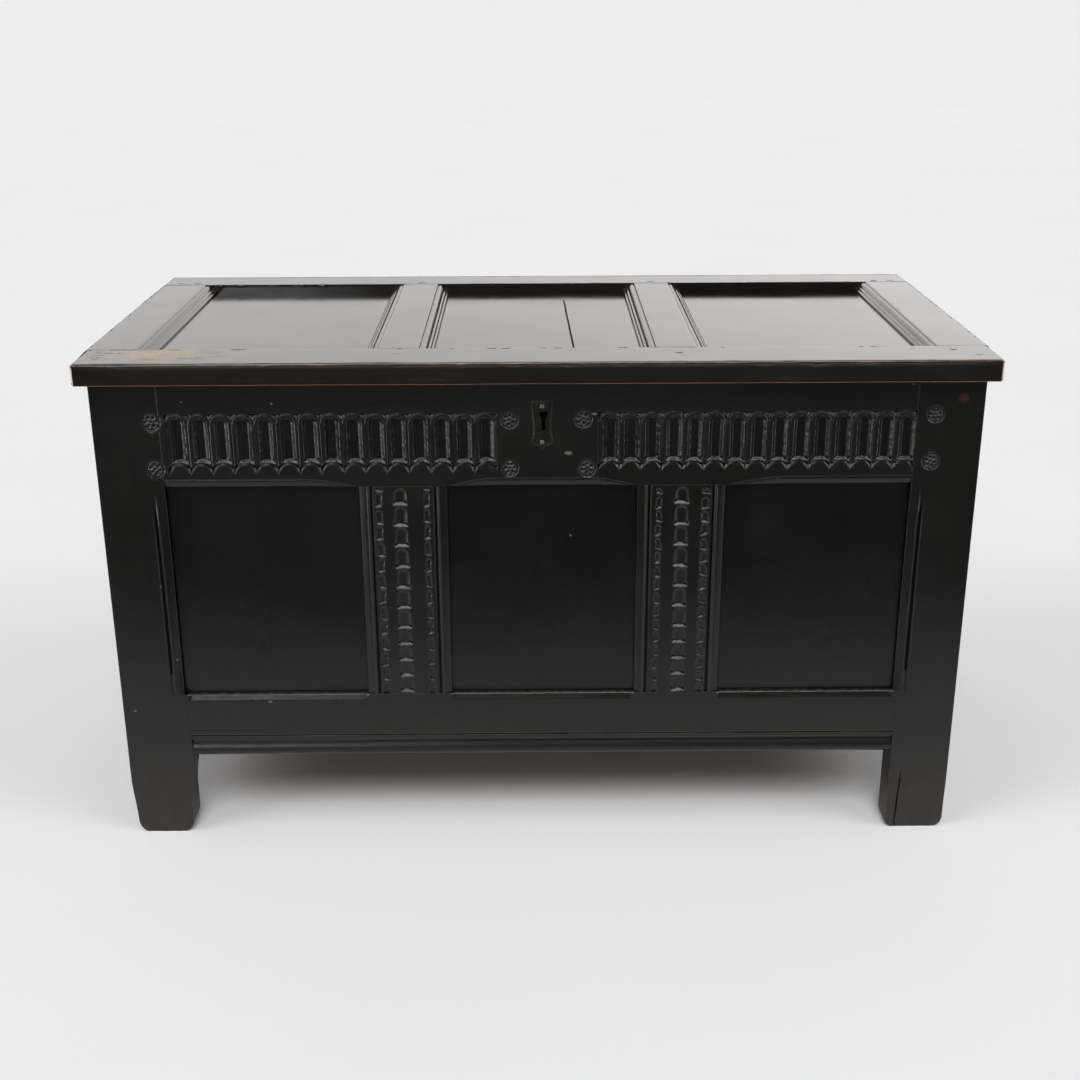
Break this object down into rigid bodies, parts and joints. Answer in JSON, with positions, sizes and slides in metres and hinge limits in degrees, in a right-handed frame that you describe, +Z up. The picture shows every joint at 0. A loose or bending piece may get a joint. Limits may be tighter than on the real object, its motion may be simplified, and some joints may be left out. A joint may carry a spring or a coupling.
{
  "type": "coffer chest",
  "caption": "Joined oak coffer with a panelled and carved front, a hinged panelled lid and an iron lock.",
  "frame": {"origin": "on the floor under the middle of the lid", "axes": "+X runs to the right along the front, +Y runs from the front to the back, +Z is up"},
  "size_m": [1.2, 0.6, 0.7014],
  "materials": {
    "oak_front": "near-black stained oak, waxed to a low gloss",
    "oak_sides": "near-black stained oak, waxed",
    "oak_lid": "near-black stained oak, polished",
    "oak_boards": "bare old oak",
    "oak_pegs": "stained oak end grain",
    "black_iron": "wrought iron, blackened and waxed"
  },
  "bodies": {
    "carcass": {"back_bottom_rail": "oak_sides", "back_left_muntin": "oak_sides", "back_left_panel": "oak_sides", "back_left_stile": "oak_sides", "back_middle_panel": "oak_sides", "back_pegs": "oak_pegs", "back_right_muntin": "oak_sides", "back_right_panel": "oak_sides", "back_right_stile": "oak_sides", "back_top_rail": "oak_sides", "board_nails": "black_iron", "bottom_board_1": "oak_boards", "bottom_board_2": "oak_boards", "bottom_board_3": "oak_boards", "bottom_board_4": "oak_boards", "bottom_board_5": "oak_boards", "escutcheon": "black_iron", "front_bottom_rail": "oak_front", "front_left_muntin": "oak_front", "front_left_panel": "oak_front", "front_left_stile": "oak_front", "front_middle_panel": "oak_front", "front_pegs": "oak_pegs", "front_right_muntin": "oak_front", "front_right_panel": "oak_front", "front_right_stile": "oak_front", "front_top_rail": "oak_front", "hinge_nails": "black_iron", "left_back_panel": "oak_sides", "left_bottom_rail": "oak_sides", "left_front_panel": "oak_sides", "left_hinge_leaf": "black_iron", "left_hinge_pin": "black_iron", "left_muntin": "oak_sides", "left_top_rail": "oak_sides", "lock_nails": "black_iron", "lock_plate": "black_iron", "right_back_panel": "oak_sides", "right_bottom_rail": "oak_sides", "right_front_panel": "oak_sides", "right_hinge_leaf": "black_iron", "right_hinge_pin": "black_iron", "right_muntin": "oak_sides", "right_top_rail": "oak_sides", "side_pegs": "oak_pegs"},
    "lid": {"left_hinge_strap": "black_iron", "lid_back_rail": "oak_lid", "lid_front_rail": "oak_lid", "lid_left_muntin": "oak_lid", "lid_left_panel": "oak_lid", "lid_left_stile": "oak_lid", "lid_middle_panel": "oak_lid", "lid_pegs": "oak_pegs", "lid_right_muntin": "oak_lid", "lid_right_panel": "oak_lid", "lid_right_stile": "oak_lid", "lid_staple": "black_iron", "right_hinge_strap": "black_iron", "strap_nails": "black_iron"},
    "lock_bolt": {"lock_bolt": "black_iron"}
  },
  "joints": [
    {"name": "lid_hinge", "type": "hinge", "parent": "carcass", "child": "lid", "pos_m": [0, 0.281, 0.6662], "axis": [-1, 0, 0], "range_deg": [0, 110]},
    {"name": "bolt_slide", "type": "slide", "parent": "carcass", "child": "lock_bolt", "axis": [1, 0, 0], "range_m": [0, 0.014]}
  ]
}
